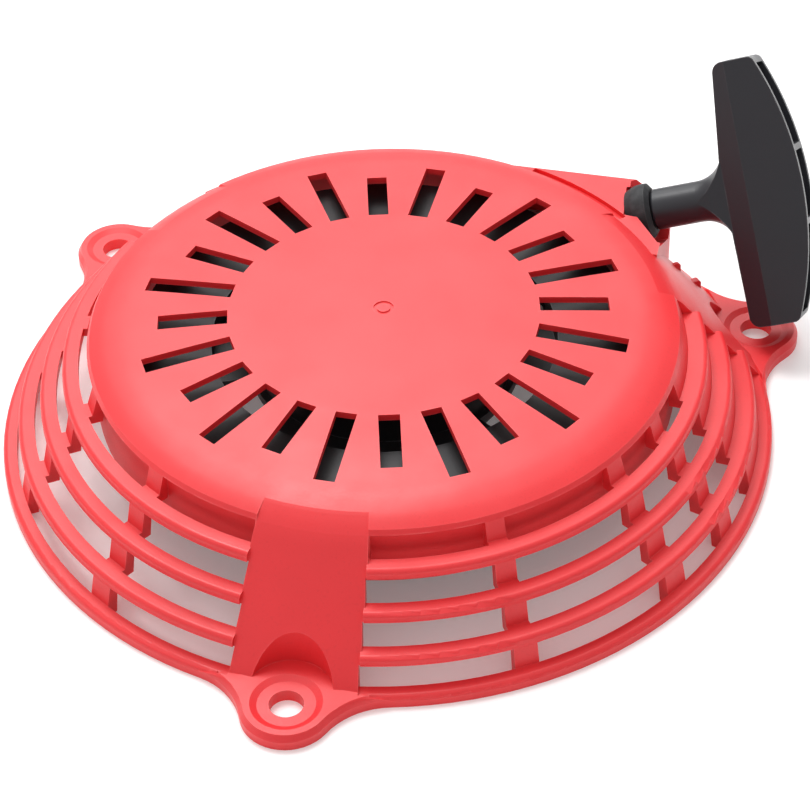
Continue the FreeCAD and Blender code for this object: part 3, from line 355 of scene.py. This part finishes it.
def rope_on_reel(material):
    """The turns of rope on the reel, wound inwards from where the rope leaves."""
    low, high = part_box("rope_coil")
    along = rope_axis()[0]
    turns = (ROPE_LAST_TURN - ROPE_FIRST_TURN) / ROPE_PITCH
    leaves_at = math.pi / 2 + math.atan2(along.y, along.x)
    count = int(2 * math.pi * turns * (ROPE_FIRST_TURN + ROPE_LAST_TURN) / 2 / RING_SPACING)
    share = np.linspace(0, 1, count)
    radius = ROPE_FIRST_TURN + (ROPE_LAST_TURN - ROPE_FIRST_TURN) * share
    angle = leaves_at + 2 * math.pi * turns * (1 - share)
    height = np.full(count, (low.z + high.z) / 2)
    path = np.column_stack([radius * np.cos(angle), radius * np.sin(angle), height])
    piece = braided_rope("rope_on_reel", path, material)
    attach(piece, "reel")
    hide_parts("rope_coil")
    return Vector(path[-1])


def rope_in_duct(material, leaves):
    """The stretch from the reel to the outlet, bent gently where it starts to climb."""
    along, start, _ = rope_axis()
    bend = start - along * ((start.z - leaves.z) / along.z)
    before = leaves.lerp(bend, 1 - ROPE_BEND / (bend - leaves).length)
    after = bend.lerp(start, ROPE_BEND / (start - bend).length)
    curve = [before.lerp(bend, t).lerp(bend.lerp(after, t), t) for t in np.linspace(0, 1, 9)]
    path = resampled([leaves] + curve + [start], RING_SPACING)
    piece = braided_rope("rope_in_duct", path, material)
    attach(piece, "housing")
    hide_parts("rope_lead")


def rope_to_grip(material):
    """The rope in the grip, with its braid packed tighter near the outlet by the length of the grip's
    pull.
    """
    along, start, end = rope_axis()
    travel = joints["grip_pull"]["range_m"][1]
    length = (end - start).length
    at_rest = np.linspace(0, length, 4000)
    share = np.clip(at_rest / ROPE_PACKED, 0, 1)
    pulled = at_rest + travel * share * share * (3 - 2 * share)
    even = np.linspace(0, pulled[-1], int(pulled[-1] / RING_SPACING))
    rest = np.interp(even, pulled, at_rest)
    path = np.array(start)[None, :] + rest[:, None] * np.array(along)[None, :]
    piece = braided_rope("rope_to_grip", path, material, distance=even)
    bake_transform(piece)
    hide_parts("rope_tail")


def box_middle(node):
    low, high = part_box(node)
    return (low + high) / 2


def knot(name, centre, along, size, material, body, node):
    """A pulled-tight overhand knot with its axis along the rope."""
    t = np.linspace(0, 2 * math.pi, 150)
    loop = np.column_stack([np.sin(t) + 2 * np.sin(2 * t), np.cos(t) - 2 * np.cos(2 * t),
                            -np.sin(3 * t)])
    loop *= size * np.array((0.30, 0.30, 0.62))
    turn = Vector((0, 0, 1)).rotation_difference(along)
    path = np.array([turn @ Vector(p) + centre for p in loop])
    piece = braided_rope(name, path, material, radius=size * KNOT_ROPE)
    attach(piece, body)
    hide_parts(node)


# ---------------------------------------------------------------- studio

def add_floor():
    """A wide pale floor under the object."""
    bpy.ops.mesh.primitive_plane_add(size=8)
    floor = bpy.context.object
    floor.name = "floor"
    floor.data.materials.append(floor_paper())


def add_light(name, place, size, power):
    """A square soft light that faces the middle of the object."""
    data = bpy.data.lights.new(name, "AREA")
    data.size = size
    data.energy = power
    light = bpy.data.objects.new(name, data)
    light.location = place
    light.rotation_mode = "QUATERNION"
    light.rotation_quaternion = (VIEW_AIM - Vector(place)).to_track_quat("-Z", "Y")
    bpy.context.scene.collection.objects.link(light)


def add_world():
    """White surroundings, brightest overhead and dimmer towards +X, which the camera sees as white."""
    world = bpy.data.worlds.new("studio")
    world.use_nodes = True
    tree = world.node_tree
    background = tree.nodes["Background"]
    lean = tree.nodes.new("ShaderNodeVectorMath")
    lean.operation = "DOT_PRODUCT"
    lean.inputs[1].default_value = BRIGHTEST_SIDE
    ramp = tree.nodes.new("ShaderNodeMapRange")
    for index, number in ((1, -0.1), (2, 0.9), (3, DIMMEST), (4, BRIGHTEST)):
        ramp.inputs[index].default_value = number
    seen = tree.nodes.new("ShaderNodeLightPath")
    strength = tree.nodes.new("ShaderNodeMix")
    strength.inputs[3].default_value = 1.0
    tree.links.new(tree.nodes.new("ShaderNodeTexCoord").outputs["Generated"], lean.inputs[0])
    tree.links.new(lean.outputs["Value"], ramp.inputs[0])
    tree.links.new(seen.outputs["Is Camera Ray"], strength.inputs[0])
    tree.links.new(ramp.outputs[0], strength.inputs[2])
    tree.links.new(strength.outputs[0], background.inputs["Strength"])
    background.inputs["Color"].default_value = (1.0, 1.0, 1.0, 1.0)
    bpy.context.scene.world = world


def add_camera():
    """The camera, set by the direction it looks from, its distance and a small roll."""
    azimuth, elevation = math.radians(VIEW_AZIMUTH), math.radians(VIEW_ELEVATION)
    level_back = Vector((math.sin(azimuth), -math.cos(azimuth), 0))
    back = level_back * math.cos(elevation) + Vector((0, 0, math.sin(elevation)))
    data = bpy.data.cameras.new("camera")
    data.sensor_width = 36
    data.lens = VIEW_LENS
    data.clip_end = 50
    camera = bpy.data.objects.new("camera", data)
    camera.location = VIEW_AIM + back * VIEW_DISTANCE
    camera.rotation_mode = "QUATERNION"
    level = (-back).to_track_quat("-Z", "Y")
    camera.rotation_quaternion = level @ Quaternion((0, 0, 1), math.radians(VIEW_ROLL))
    bpy.context.scene.collection.objects.link(camera)
    bpy.context.scene.camera = camera


# ---------------------------------------------------------------- putting it together

def soften(node, width):
    """Rounds a CAD node's sharp edges so that they catch the light."""
    part = nodes[node]
    bevel = part.modifiers.new("round_edges", "BEVEL")
    bevel.width = width
    bevel.segments = 2
    bevel.limit_method = "ANGLE"
    bevel.angle_limit = math.radians(BEVEL_ANGLE)
    evened = part.modifiers.new("even_shading", "WEIGHTED_NORMAL")
    evened.mode = "FACE_AREA"
    evened.weight = 60


def dress(node, material, width):
    """Gives a CAD node its material, and rounds its sharp edges if a width is given."""
    part = nodes[node]
    part.data.materials.clear()
    part.data.materials.append(material)
    if width:
        soften(node, width)


plastic = black_plastic("grip_plastic", (0.018, 0.018, 0.023), 0.36, 0.000010)
inner_plastic = black_plastic("reel_plastic", (0.020, 0.020, 0.022), 0.48, 0.000014)
steel = metal("zinc_steel", (0.62, 0.61, 0.58), 0.33, (0.42, 0.41, 0.38), ringed=True)
hard_steel = metal("hard_steel", (0.42, 0.40, 0.38), 0.42, (0.22, 0.20, 0.19))
spring_steel = metal("spring_steel", (0.20, 0.21, 0.25), 0.30, (0.12, 0.11, 0.11))
wire_steel = metal("wire_steel", (0.66, 0.66, 0.68), 0.24, (0.40, 0.39, 0.38))
brass = metal("brass", (0.74, 0.53, 0.22), 0.30, (0.45, 0.30, 0.12), ringed=True)
fibre = rope_fibre()

dress("housing", red_plastic(), 0.0005)
dress("grip", plastic, 0.0007)
dress("outlet_bush", rubber(), 0.0002)
for node in ("reel", "ratchet_guide"):
    dress(node, inner_plastic, 0.0002)
for node in ("setting_screw", "thrust_washer", "grip_washer"):
    dress(node, steel, 0.0001)
for node in ("pawl_a", "pawl_b"):
    dress(node, hard_steel, 0.0002)
for node in ("pawl_spring_a", "pawl_spring_b", "friction_spring"):
    dress(node, wire_steel, 0)
dress("recoil_spring", spring_steel, 0.0001)
dress("centre_insert", brass, 0.0001)

leaves = rope_on_reel(fibre)
rope_in_duct(fibre, leaves)
rope_to_grip(fibre)
knot("knot_in_grip", box_middle("grip_knot"), rope_axis()[0], GRIP_KNOT_SIZE, fibre,
     "grip", "grip_knot")
reel_side = box_middle("rope_knot_reel")
outward = Vector((reel_side.x, reel_side.y, 0)).normalized()
knot("knot_in_reel", reel_side - outward * 0.001, outward, REEL_KNOT_SIZE, fibre,
     "reel", "rope_knot_reel")

add_floor()
add_world()
add_light("key_light", (-0.28, 0.40, 1.05), 0.45, 6.5)
add_light("back_light", (-0.30, 1.0, 0.98), 1.2, 8.5)
add_camera()
bpy.context.scene.view_settings.view_transform = "Standard"
